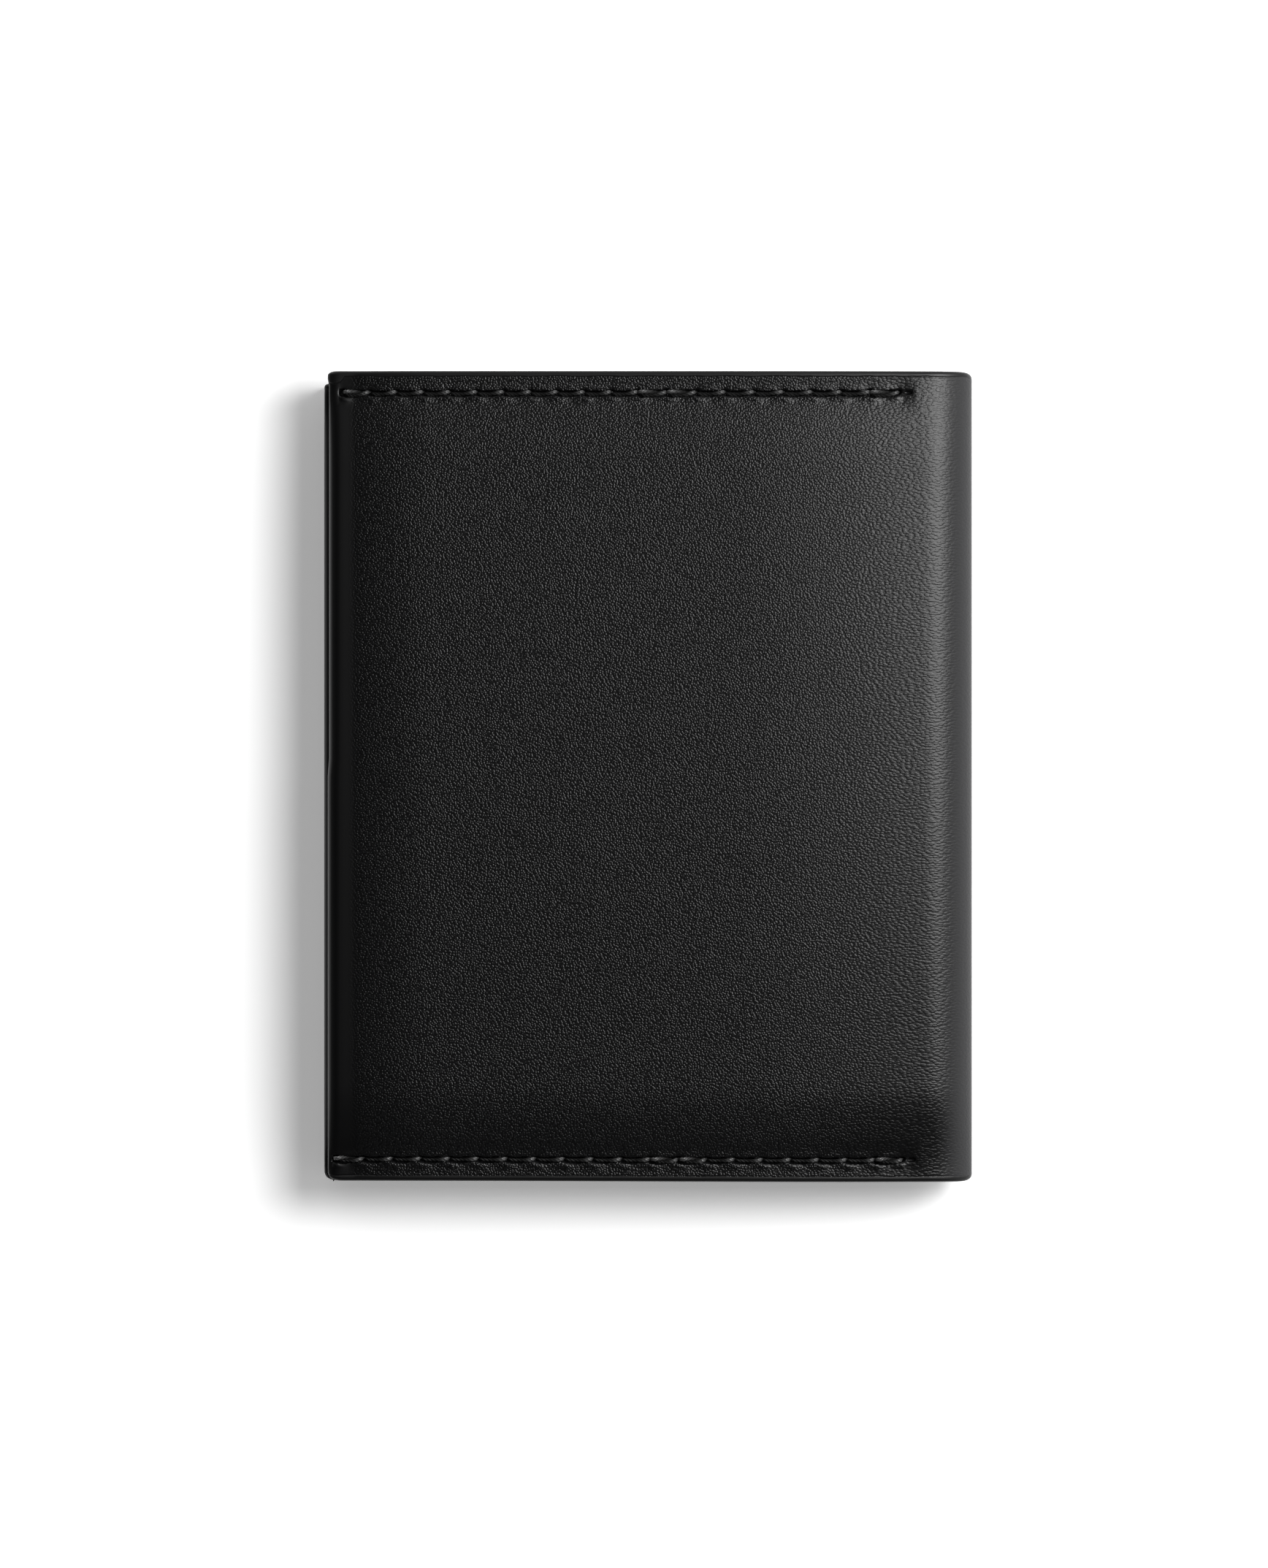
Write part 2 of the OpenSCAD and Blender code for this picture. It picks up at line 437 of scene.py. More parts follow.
def layFlatMap(piece, flipU=False):
    # keeps every point's flat cutting position, in centimetres, so grain and weave follow the folded surface
    points = readPoints(piece)
    loops = np.empty(len(piece.data.loops), dtype=np.int32)
    piece.data.loops.foreach_get("vertex_index", loops)
    for layer in list(piece.data.uv_layers):
        piece.data.uv_layers.remove(layer)
    u = points[loops, 0] * (-1 if flipU else 1)
    v = points[loops, 1]
    writeMap(piece, "flat", np.stack([u, v], axis=1) * 100)
    writeMap(piece, "grain", np.stack([grainAlong(u), v / grain["pebble"]], axis=1))


# Seams.

topBox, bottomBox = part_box("front_top_seam"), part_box("front_bottom_seam")
seams = {
    # each line starts at the open edge, is started again on the way, and ends before the bend
    "top": {"y": topBox[0].y - 0.10 * mm, "first": topBox[0].x - 2.1 * mm, "again": -1.3 * mm,
            "last": topBox[1].x + 0.45 * mm, "over": 2},
    "bottom": {"y": bottomBox[0].y - 0.02 * mm, "first": bottomBox[0].x - 3.1 * mm, "again": 0.2 * mm,
               "last": bottomBox[1].x + 0.9 * mm, "over": 2},
}
stitchesBefore, stitchesAfter = 11, 9
for seam in seams.values():
    early = np.linspace(seam["first"], seam["again"], stitchesBefore + 1)
    late = np.linspace(seam["again"], seam["last"], stitchesAfter + 1)
    seam["holes"] = np.concatenate([early, late[1:]])
    seam["spareHole"] = seam["last"] + 1.15 * mm

stitchBed = {
    "valley": 0.20 * mm,  # the leather is drawn down along the whole seam
    "valleyWidth": 1.7 * mm,
    "slot": 0.85 * mm,  # each stitch lies in a slot, deepest where it comes up, shallow where it turns over
    "slotHalf": 0.33 * mm,
    "slotEnd": 0.12 * mm,
    "wall": 0.15 * mm,
    "hole": 0.45 * mm,
    "holeWidth": 0.30 * mm,
    "pucker": 0.13 * mm,  # the leather swells between one slot and the next
    "sag": 0.20 * mm,  # the middle of a stitch hangs below its ends
}


def stitchPlace(u, marks):
    # which stitch a place along the leather belongs to, and how far along it, from 0 to 1
    order = np.argsort(marks)
    along = np.interp(u, marks[order], order.astype(float))
    index = np.clip(np.floor(along), 0, len(marks) - 2)
    return index.astype(int), along - index


def sagAt(t):
    return stitchBed["sag"] * (0.55 * t - np.sin(math.pi * np.clip(t, 0, 1) ** 0.8))


def seamMarks(seam, leaf, inside):
    # where a seam's holes come, counted along the leather
    if not inside:
        return alongTop(seam["holes"])
    holes = seam["holes"][seam["holes"] < leaf["mouth"] - 1.5 * mm]
    return alongUnder(leaf, holes)


def isDoubled(seam, index, count):
    again = (index >= stitchesBefore) & (index < stitchesBefore + seam["over"])
    return (index == 0) | (index == count - 1) | again


def pressSeam(u, off, seam, leaf, inside):
    # how far the grain side is drawn down by one seam
    marks = seamMarks(seam, leaf, inside)
    low, high = marks.min(), marks.max()
    within = ramp((u - low + 0.5 * mm) / (0.5 * mm)) * ramp((high + 0.5 * mm - u) / (0.5 * mm))
    near = ramp((u - low + 2.5 * mm) / (2.5 * mm)) * ramp((high + 2.5 * mm - u) / (2.5 * mm))
    index, t = stitchPlace(u, marks)
    bed = stitchBed
    wide = np.where(isDoubled(seam, index, len(marks) - 1), 0.07 * mm, 0)
    across = off - sagAt(t)
    half = bed["slotHalf"] + (bed["slotEnd"] - bed["slotHalf"]) * ramp((t - 0.55) / 0.35) + wide
    wall = ramp((half + bed["wall"] / 2 - np.abs(across)) / bed["wall"])
    deep = bed["slot"] * (1 - 0.55 * ramp((t - 0.5) / 0.35) + 0.55 * ramp((t - 0.93) / 0.07))
    drop = bed["valley"] * np.exp(-(off / bed["valleyWidth"]) ** 2) * near
    drop += deep * wall * within
    gap = np.abs(u[:, None] - marks[None, :]).min(axis=1)
    drop += bed["hole"] * np.exp(-(gap ** 2 + off ** 2) / bed["holeWidth"] ** 2)
    turn = np.cos(2 * math.pi * (t - 0.02))
    below = np.exp(-((across + 0.72 * mm) / (0.38 * mm)) ** 2) * (0.5 + 0.5 * turn)
    above = np.exp(-((across - 0.66 * mm) / (0.36 * mm)) ** 2) * (0.5 - 0.5 * turn)
    drop -= bed["pucker"] * (below + 0.45 * above) * within
    if not inside:
        spare = np.abs(u - float(alongTop(seam["spareHole"])))
        drop += 0.40 * mm * ramp((0.62 * mm - spare) / (0.3 * mm)) * np.exp(-(off / (0.24 * mm)) ** 4)
    return drop


def pressSeams(piece, leaf):
    # shapes the leather round the stitches while it is still flat
    points = readPoints(piece)
    drop = np.zeros(len(points))
    for seam in seams.values():
        off = points[:, 1] - seam["y"]
        for inside in (False, True):
            near = np.abs(off) < 6 * mm
            near &= (points[:, 0] > leaf["underStart"] - 3 * mm) == inside
            drop[near] += pressSeam(points[near, 0], off[near], seam, leaf, inside)
    grainSide = points[:, 2] > -0.05 * mm
    points[:, 2] -= np.where(grainSide, drop, 0)
    writePoints(piece, points)


def refineSeams(piece, leaf, cuts=4):
    # more faces where the stitches go, on the grain side only
    pickOnly(piece)
    bpy.ops.object.mode_set(mode="EDIT")
    bpy.ops.mesh.select_mode(type="FACE")
    bpy.ops.mesh.select_all(action="DESELECT")
    bpy.ops.object.mode_set(mode="OBJECT")
    count = len(piece.data.polygons)
    centres, normals = np.empty(count * 3), np.empty(count * 3)
    piece.data.polygons.foreach_get("center", centres)
    piece.data.polygons.foreach_get("normal", normals)
    centres, normals = centres.reshape(-1, 3), normals.reshape(-1, 3)
    chosen = np.zeros(count, dtype=bool)
    spineSide = float(alongTop(seams["top"]["spareHole"] + 1.2 * mm))
    for seam in seams.values():
        chosen |= np.abs(centres[:, 1] - seam["y"]) < 1.25 * mm
    chosen &= (centres[:, 0] > spineSide) & (centres[:, 0] < leaf["end"] - 1.5 * mm)
    chosen &= normals[:, 2] > 0.9
    bpy.ops.object.mode_set(mode="EDIT")
    bpy.ops.object.mode_set(mode="OBJECT")
    piece.data.polygons.foreach_set("select", chosen)
    bpy.ops.object.mode_set(mode="EDIT")
    bpy.ops.mesh.subdivide(number_cuts=cuts)
    bpy.ops.object.mode_set(mode="OBJECT")


def mirrorRows(*stops):
    # rows of points between the bottom and the top edge, finer toward both
    half = spread(*stops)
    return np.concatenate([-half[::-1], half[1:]])


leatherRows = mirrorRows(
    (0, 36 * mm, 2.25 * mm),
    (36 * mm, 44.4 * mm, 1.05 * mm),
    (44.4 * mm, 49.0 * mm, 0.575 * mm),
    (49.0 * mm, halfHeight - 0.46 * mm, 0.18 * mm),
    (halfHeight - 0.46 * mm, halfHeight, 0.46 * mm),
)
plainRows = mirrorRows(
    (0, 38 * mm, 3.8 * mm),
    (38 * mm, halfHeight - 0.6 * mm, 1.1 * mm),
    (halfHeight - 0.6 * mm, halfHeight, 0.6 * mm),
)


# Leather: one strip each for front, spine and back.

def makeCover(name, leaf):
    columns = spread(
        (spine["cut"], spine["cut"] + 0.06 * mm, 0.06 * mm),
        (spine["cut"] + 0.06 * mm, 12 * mm, 0.5 * mm),
        (12 * mm, leaf["turnStart"] - 1 * mm, 0.87 * mm),
        (leaf["turnStart"] - 1 * mm, leaf["underStart"] + 1 * mm, 0.5 * mm),
        (leaf["underStart"] + 1 * mm, leaf["end"] - 0.6 * mm, 0.87 * mm),
        (leaf["end"] - 0.6 * mm, leaf["end"], 0.6 * mm),
    )
    piece = cutFlat(name, columns, leatherRows, skin["cover"])
    roundRims(piece, skin["edgeRound"], 4, ends=(leaf["end"],))
    refineSeams(piece, leaf)
    layFlatMap(piece, flipU=leaf["flip"])
    markSkin(piece, leaf)
    pressSeams(piece, leaf)
    points = readPoints(piece)
    # skived thinner where it turns in
    thin = ramp((points[:, 0] - leaf["turnStart"] - 3 * mm) / (6 * mm))
    points[:, 2] *= 1 - thin * (1 - skin["panel"] / skin["cover"])
    # thumb notch in the mouth of the pocket
    if leaf["notchDepth"]:
        radius, depth = leaf["notchRadius"], leaf["notchDepth"]
        dip = np.sqrt(np.clip(radius ** 2 - points[:, 1] ** 2, 0, None)) - (radius - depth)
        reach = np.clip((points[:, 0] - leaf["end"] + 16 * mm) / (16 * mm), 0, 1)
        points[:, 0] -= np.clip(dip, 0, None) * reach ** 2
    writePoints(piece, points)
    foldPiece(piece, leaf)
    return piece


def stripColumns(spacing):
    # across a strip over the spine, with a close pair of lines at each long edge to keep it crisp
    cut, pair = spine["cut"], 0.06 * mm
    return spread((-cut, -cut + pair, pair), (-cut + pair, cut - pair, spacing), (cut - pair, cut, pair))


def makeSpineLeather():
    piece = cutFlat("cover_spine", stripColumns(0.4 * mm), leatherRows, skin["cover"])
    roundRims(piece, skin["edgeRound"], 4)
    layFlatMap(piece)
    markSkin(piece, frontLeaf)
    foldSpine(piece)
    return piece


coverFront = makeCover("cover_front", frontLeaf)
coverBack = makeCover("cover_back", backLeaf)
coverSpine = makeSpineLeather()
print("leather cut and folded:", [len(p.data.polygons) for p in (coverFront, coverBack, coverSpine)])


def makeRearPanel():
    # the inner of the two stepped panels in the back leaf, between the lining and the turned-in leather
    leaf = backLeaf
    start, end = alongUnder(leaf, leaf["turnX"] + 0.3 * mm), alongUnder(leaf, mouthRear)
    columns = spread((start, end - 0.6 * mm, 1.5 * mm), (end - 0.6 * mm, end, 0.6 * mm))
    piece = cutFlat("slot_panel_rear", columns, plainRows * 0.992, skin["panel"])
    roundRims(piece, 0.3 * mm, 3, ends=(end,))
    layFlatMap(piece, flipU=True)
    markSkin(piece, leaf)
    points = readPoints(piece)
    apart = 1.7 * mm - 0.75 * mm * ramp((np.abs(points[:, 1]) - face["heldFrom"]) / (10 * mm))
    points[:, 2] -= apart
    writePoints(piece, points)
    foldPiece(piece, leaf)
    return piece


slotPanelRear = makeRearPanel()


# Lining and boards.

def makeLayer(name, leaf, depth, thickness, spineDepth=None):
    # a board stops short of the bend; a lining, which has a spineDepth, runs on to the strip over the spine
    start = float(alongTop(layerEnd)) if spineDepth is None else spine["cut"]
    pair = 0.06 * mm
    columns = spread((start, start + pair, pair), (start + pair, leaf["layerStop"], 1.2 * mm))
    piece = cutFlat(name, columns, plainRows * layerHeight, thickness)
    layFlatMap(piece, flipU=leaf["flip"])
    points = readPoints(piece)
    if spineDepth is None:
        points[:, 2] -= depth
    else:
        deeper = ramp((points[:, 0] - 8 * mm) / (4 * mm))
        points[:, 2] -= spineDepth + (depth - spineDepth) * deeper
    writePoints(piece, points)
    foldPiece(piece, leaf)
    return piece


def makeSpineLining():
    piece = cutFlat("lining_spine", stripColumns(0.6 * mm), plainRows * layerHeight, skin["lining"])
    layFlatMap(piece)
    points = readPoints(piece)
    points[:, 2] -= boardDepth
    writePoints(piece, points)
    foldSpine(piece)
    return piece


layerHeight = 0.994  # boards and linings are cut a little shorter than the leather
boardDepth = skin["cover"] + skin["gap"]
liningDepth = boardDepth + skin["board"] + skin["gap"]
for leaf in (frontLeaf, backLeaf):
    leaf["layerStop"] = float(alongTop(leaf["turnX"] + 0.8 * mm))  # just short of the turned edge
boardFront = makeLayer("board_front", frontLeaf, boardDepth, skin["board"])
boardBack = makeLayer("board_back", backLeaf, boardDepth, skin["board"])
liningFront = makeLayer("lining_front", frontLeaf, liningDepth, skin["lining"], spineDepth=boardDepth)
liningBack = makeLayer("lining_back", backLeaf, liningDepth, skin["lining"], spineDepth=boardDepth)
liningSpine = makeSpineLining()
print("boards and lining laid in")


# Painted edges: the pressed stack between the face and the inside, closed and painted.

edgeFill = {"inset": 0.35 * mm, "from": 49.05 * mm, "to": 49.82 * mm, "round": 0.3 * mm}


def makeEdgeFill(name, leaf, side, steps):
    # steps are the (x, depth) places where the layers end one after another, from the mouth to the spine
    v = side * 49.5 * mm
    run = np.concatenate([
        np.linspace(float(alongTop(layerEnd)), leaf["turnStart"], 30),
        np.linspace(leaf["turnStart"], leaf["underStart"], 20)[1:],
        np.linspace(leaf["underStart"], alongUnder(leaf, leaf["mouth"] - 0.5 * mm), 12)[1:],
    ])
    flat = np.stack([run, np.full(len(run), v), np.full(len(run), -edgeFill["inset"])], axis=1)
    outline = foldPoints(flat, leaf)
    back = np.array([[float(alongTop(x)), v, -depth] for x, depth in steps])
    outline = np.concatenate([outline, foldPoints(back, leaf)])
    bpy.ops.object.select_all(action="DESELECT")
    bpy.ops.mesh.primitive_circle_add(vertices=len(outline), radius=1, fill_type="NGON")
    piece = bpy.context.object
    piece.name = name
    piece.data.name = name
    outline[:, 1] = side * edgeFill["from"] + (outline[:, 1] - v)
    writePoints(piece, outline)
    pickOnly(piece)
    bpy.ops.object.mode_set(mode="EDIT")
    bpy.ops.mesh.select_all(action="SELECT")
    bpy.ops.mesh.extrude_region_move(
        TRANSFORM_OT_translate={"value": (0, side * (edgeFill["to"] - edgeFill["from"]), 0)})
    bpy.ops.object.mode_set(mode="OBJECT")
    points, edges = readPoints(piece), readEdges(piece)
    far = np.abs(points[:, 1]) > edgeFill["from"] + 0.45 * (edgeFill["to"] - edgeFill["from"])
    bevelEdges(piece, far[edges[:, 0]] & far[edges[:, 1]], edgeFill["round"], 3)
    faceOutward(piece)
    smoothShade(piece, 40)
    return piece


frontSteps = [(mouthFront + 2.5 * mm, 2.0 * mm), (layerEnd, 1.9 * mm)]
backSteps = [
    (mouthBack + 1.5 * mm, 2.9 * mm), (mouthRear - 0.3 * mm, 2.9 * mm), (mouthRear + 1.5 * mm, 2.0 * mm),
    (layerEnd, 1.9 * mm),
]
edgeFills = [
    makeEdgeFill("edge_front_top", frontLeaf, 1, frontSteps),
    makeEdgeFill("edge_front_bottom", frontLeaf, -1, frontSteps),
    makeEdgeFill("edge_back_top", backLeaf, 1, backSteps),
    makeEdgeFill("edge_back_bottom", backLeaf, -1, backSteps),
]
print("edges closed")


# Thread.

thread = {
    "plyRadius": 0.135 * mm,
    "twistRadius": 0.125 * mm,
    "plies": 3,
    "sides": 5,
    "rings": 12,
    "twists": 2.3,  # turns of the plies in one stitch
}


def makeStitch():
    # one stitch of three twisted plies, one unit long, built straight and shaped later
    plies = []
    for ply in range(thread["plies"]):
        bpy.ops.object.select_all(action="DESELECT")
        bpy.ops.mesh.primitive_cylinder_add(vertices=thread["sides"], radius=1, depth=1, location=(0, 0, 0))
        part = bpy.context.object
        points, edges = readPoints(part), readEdges(part)
        upright = np.abs(points[edges[:, 0], 2] - points[edges[:, 1], 2]) > 0.5
        editEdges(part, upright)
        bpy.ops.mesh.subdivide(number_cuts=thread["rings"])
        bpy.ops.object.mode_set(mode="OBJECT")
        points = readPoints(part)
        along = points[:, 2] + 0.5
        taper = np.sqrt(np.clip(1 - (2 * along - 1) ** 10, 0.08, 1))
        angle = 2 * math.pi * (ply / thread["plies"] + thread["twists"] * along)
        across = points[:, 0] * thread["plyRadius"] * taper + thread["twistRadius"] * taper * np.cos(angle)
        upward = points[:, 1] * thread["plyRadius"] * taper + thread["twistRadius"] * taper * np.sin(angle)
        writePoints(part, np.stack([along, across, upward], axis=1))
        plies.append(part)
    return joinPieces("stitch", plies)


def placeStitch(model, start, end, y, turn=1.0, lift=0.0, sway=0.0):
    # lays a copy of the stitch from one hole to the next: it comes up low, climbs, leans over and dives
    piece = copyPiece(model)
    points = readPoints(piece)
    t, across, upward = points[:, 0], points[:, 1], points[:, 2]
    path = start + (end - start) * (0.02 + 1.03 * t)
    climb = -0.25 * (1 - t) ** 6 - 0.80 * ramp((0.78 - t) / 0.45)
    climb += 0.16 * np.exp(-((t - 0.82) / 0.12) ** 2)
    climb -= 0.10 * np.clip((t - 0.8) / 0.12, 0, 1) + 0.60 * np.clip((t - 0.91) / 0.09, 0, 1) ** 1.5
    lean = sagAt(t) * turn + sway * np.sin(math.pi * t)
    # painted highlight mask: 1 on the end of the stitch that climbs out of its slot, where the thread is
    # coloured paler, and 0 low in the slot, where it is coloured near black like shade
    paintedTipLight = piece.data.attributes.new("paintedTipLight", "FLOAT", "POINT")
    paleTops = ramp((t - 0.6) / 0.2) * ramp((1.02 - t) / 0.12)
    paintedTipLight.data.foreach_set("value", paleTops.astype(np.float32))
    points = np.stack([path, y + across + lean, upward + climb * mm + lift * np.sin(math.pi * t)], axis=1)
    writePoints(piece, points)
    return piece


def makeSeam(name, leaf, seamName):
    seam = seams[seamName]
    model = makeStitch()
    rng = np.random.default_rng(7 if seamName == "top" else 11)
    made = []
    for inside in (False, True):
        marks = seamMarks(seam, leaf, inside)
        for i in range(len(marks) - 1):
            lift, sway = rng.normal(0, 0.02 * mm), rng.normal(0, 0.02 * mm)
            doubled = bool(isDoubled(seam, i, len(marks) - 1)) and not inside
            apart = 0.16 * mm if doubled else 0
            made.append(placeStitch(model, marks[i], marks[i + 1], seam["y"], 1.0, lift, sway - apart))
            if doubled:
                back = rng.normal(0, 0.12 * mm)
                made.append(placeStitch(model, marks[i + 1] + back, marks[i] + back, seam["y"], 0.2,
                                        lift + 0.05 * mm, sway + apart))
    bpy.data.objects.remove(model)
    piece = joinPieces(name, made)
    layFlatMap(piece)
    writePoints(piece, foldPoints(readPoints(piece), leaf))
    faceOutward(piece)
    smoothShade(piece, 60)
    return piece


seamPieces = [
    makeSeam("seam_front_top", frontLeaf, "top"),
    makeSeam("seam_front_bottom", frontLeaf, "bottom"),
    makeSeam("seam_back_top", backLeaf, "top"),
    makeSeam("seam_back_bottom", backLeaf, "bottom"),
]
print("seams sewn:", len(seamPieces[0].data.polygons), "faces each")


# Materials.

def newMaterial(name):
    material = bpy.data.materials.new(name)
    material.use_nodes = True
    return material, material.node_tree.nodes["Principled BSDF"]


def addNode(material, kind, **values):
    node = material.node_tree.nodes.new(kind)
    for key, value in values.items():
        if hasattr(node, key):
            setattr(node, key, value)
        else:
            node.inputs[key.replace("_", " ")].default_value = value
    return node


def wire(material, source, target):
    material.node_tree.links.new(source, target)


def mathNode(material, operation, first, second=None):
    node = addNode(material, "ShaderNodeMath", operation=operation)
    feed(material, node.inputs[0], first)
    if second is not None:
        feed(material, node.inputs[1], second)
    return node.outputs[0]


def flatPlace(material, angle=0.0, stretch=(1.0, 1.0)):
    # the flat cutting position in millimetres, turned and stretched
    uv = addNode(material, "ShaderNodeUVMap", uv_map="flat")
    grow = addNode(material, "ShaderNodeMapping", vector_type="POINT")
    grow.inputs["Scale"].default_value = (10, 10, 10)
    wire(material, uv.outputs[0], grow.inputs[0])
    turn = addNode(material, "ShaderNodeMapping", vector_type="POINT")
    turn.inputs["Rotation"].default_value = (0, 0, angle)
    wire(material, grow.outputs[0], turn.inputs[0])
    pull = addNode(material, "ShaderNodeMapping", vector_type="POINT")
    pull.inputs["Scale"].default_value = (1 / stretch[0], 1 / stretch[1], 1)
    wire(material, turn.outputs[0], pull.inputs[0])
    return pull.outputs[0]


def noiseAt(material, place, detail=2.0, rough=0.5, warp=0.0):
    node = addNode(material, "ShaderNodeTexNoise", noise_dimensions="2D")
    node.inputs["Scale"].default_value = 1.0
    node.inputs["Detail"].default_value = detail
    node.inputs["Roughness"].default_value = rough
    node.inputs["Distortion"].default_value = warp
    wire(material, place, node.inputs["Vector"])
    return node.outputs[0]


def addBump(material, shader, height, strength, distance):
    bump = addNode(material, "ShaderNodeBump")
    bump.inputs["Strength"].default_value = strength
    bump.inputs["Distance"].default_value = distance
    wire(material, height, bump.inputs["Height"])
    wire(material, bump.outputs[0], shader.inputs["Normal"])


def times(material, first, second):
    return mathNode(material, "MULTIPLY", first, second)


def plus(material, first, second):
    return mathNode(material, "ADD", first, second)


def fromTo(material, value, low, high, outLow=0.0, outHigh=1.0):
    node = addNode(material, "ShaderNodeMapRange", interpolation_type="SMOOTHSTEP")
    wire(material, value, node.inputs["Value"])
    for key, number in zip(("From Min", "From Max", "To Min", "To Max"), (low, high, outLow, outHigh)):
        node.inputs[key].default_value = number
    return node.outputs[0]


def feed(material, socket, value):
    # a socket takes a number, a colour or another node's output
    if isinstance(value, tuple):
        socket.default_value = (*value, 1)
    elif isinstance(value, (int, float)):
        socket.default_value = value
    else:
        wire(material, value, socket)


def mixValue(material, share, first, second):
    node = addNode(material, "ShaderNodeMix", data_type="FLOAT")
    for number, value in ((0, share), (2, first), (3, second)):
        feed(material, node.inputs[number], value)
    return node.outputs[0]


def mixColour(material, share, first, second):
    node = addNode(material, "ShaderNodeMix", data_type="RGBA")
    for number, value in ((0, share), (6, first), (7, second)):
        feed(material, node.inputs[number], value)
    return node.outputs[2]


leatherLook = {
    "black": (0.0022, 0.0022, 0.0023),
    "paleTops": (0.0046, 0.0046, 0.0048),  # on the tops of the pebbles
    "bend": (0.022, 0.022, 0.023),  # over the spine
    "paint": (0.0035, 0.0035, 0.0036),
    "gloss": 0.24,
    "roughLow": 0.285,
    "roughHigh": 0.305,
    "pebbleShine": -0.04,  # added to the roughness on the tops of the pebbles
    "bendDull": 0.22,  # and over the spine
    "edgeRough": 0.32,  # the ironed turned edge
    "paintRough": 0.36,
    "grainHeight": 0.026 * mm,
    "grainSlant": 0.5,
    "pores": 0.12,
    "wrinkles": 0.3,
    "lineDepth": 1.1,
    "paintFrom": 49.28,  # the paint reaches this far from the middle, in mm
    "paintFull": 49.40,
}


def makeLeather():
    material, shader = newMaterial("blackLeather")
    uv = addNode(material, "ShaderNodeUVMap", uv_map="flat")
    split = addNode(material, "ShaderNodeSeparateXYZ")
    wire(material, uv.outputs[0], split.inputs[0])
    v = mathNode(material, "ABSOLUTE", times(material, split.outputs[1], 10.0))

    # pebbles, which lie in no rows
    pebbles = addNode(material, "ShaderNodeUVMap", uv_map="grain")
    cells = addNode(material, "ShaderNodeTexVoronoi", voronoi_dimensions="2D", feature="SMOOTH_F1")
    cells.inputs["Scale"].default_value = 1.0
    cells.inputs["Smoothness"].default_value = 0.3
    cells.inputs["Randomness"].default_value = 0.95
    aslant = addNode(material, "ShaderNodeVectorRotate", rotation_type="Z_AXIS")
    aslant.inputs["Angle"].default_value = leatherLook["grainSlant"]
    wire(material, pebbles.outputs[0], aslant.inputs["Vector"])
    wire(material, aslant.outputs[0], cells.inputs["Vector"])
    domed = times(material, cells.outputs["Distance"], cells.outputs["Distance"])
    pebble = fromTo(material, domed, 0.0, 0.40, 1.0, 0.0)
    uneven = noiseAt(material, flatPlace(material, math.radians(-25), (0.35, 0.7)), 2.0, 0.55)
    hide = times(material, pebble, fromTo(material, uneven, 0.3, 0.7, 0.85, 1.1))
    # slow unevenness of the hide, and pores
    slow = noiseAt(material, flatPlace(material, 0.3, (7.0, 9.0)), 3.0, 0.5)
    fine = noiseAt(material, flatPlace(material, 0.0, (0.10, 0.10)), 1.0, 0.6)
    hide = plus(material, hide, times(material, fine, leatherLook["pores"]))
    # short fine wrinkles that run away from the stitches
    gather = noiseAt(material, flatPlace(material, math.radians(-7), (0.45, 2.2)), 2.0, 0.5, 0.4)
    nearSeam = times(material, fromTo(material, v, 43.2, 46.6), fromTo(material, v, 49.0, 48.2))
    wrinkle = times(material, fromTo(material, gather, 0.52, 0.68), nearSeam)
    hide = plus(material, hide, times(material, wrinkle, leatherLook["wrinkles"]))
    show = addNode(material, "ShaderNodeAttribute", attribute_name="grainShow")
    hide = times(material, hide, show.outputs["Fac"])
    # the grain is stretched flatter towards the bend
    fromBend = times(material, mathNode(material, "ABSOLUTE", split.outputs[0]), 10.0)
    hide = times(material, hide, fromTo(material, fromBend, 8.0, 30.0, 0.60, 1.0))

    # the painted edge is smooth, with a fine line where the paint ends
    waver = noiseAt(material, flatPlace(material, 0, (3.0, 50.0)))
    waver = times(material, mathNode(material, "SUBTRACT", waver, 0.5), 0.30)
    dip = addNode(material, "ShaderNodeAttribute", attribute_name="paintDip")
    rim = plus(material, plus(material, v, waver), dip.outputs["Fac"])
    painted = fromTo(material, rim, leatherLook["paintFrom"], leatherLook["paintFull"])
    line = times(material, fromTo(material, rim, 49.14, 49.28), fromTo(material, rim, 49.44, 49.30))
    paintLie = plus(material, times(material, slow, 0.8), 0.5)
    height = mixValue(material, painted, hide, paintLie)
    height = mathNode(material, "SUBTRACT", height, times(material, line, leatherLook["lineDepth"]))
    addBump(material, shader, height, 1.0, leatherLook["grainHeight"])

    # the tops of the pebbles are coloured paler than the hollows between them
    lighter = fromTo(material, hide, 0.45, 1.0)
    # duller and paler where the hide bends over the spine, smooth round the turned edge
    bent = fromTo(material, fromBend, 9.0, 4.0)
    colour = mixColour(material, lighter, leatherLook["black"], leatherLook["paleTops"])
    colour = mixColour(material, bent, colour, leatherLook["bend"])
    colour = mixColour(material, painted, colour, leatherLook["paint"])
    wire(material, colour, shader.inputs["Base Color"])
    rough = mixValue(material, slow, leatherLook["roughLow"], leatherLook["roughHigh"])
    rough = plus(material, rough, times(material, lighter, leatherLook["pebbleShine"]))
    rough = plus(material, rough, times(material, bent, leatherLook["bendDull"]))
    rough = mixValue(material, show.outputs["Fac"], leatherLook["edgeRough"], rough)
    rough = mixValue(material, painted, rough, leatherLook["paintRough"])
    wire(material, rough, shader.inputs["Roughness"])
    shader.inputs["Specular IOR Level"].default_value = leatherLook["gloss"]
    return material


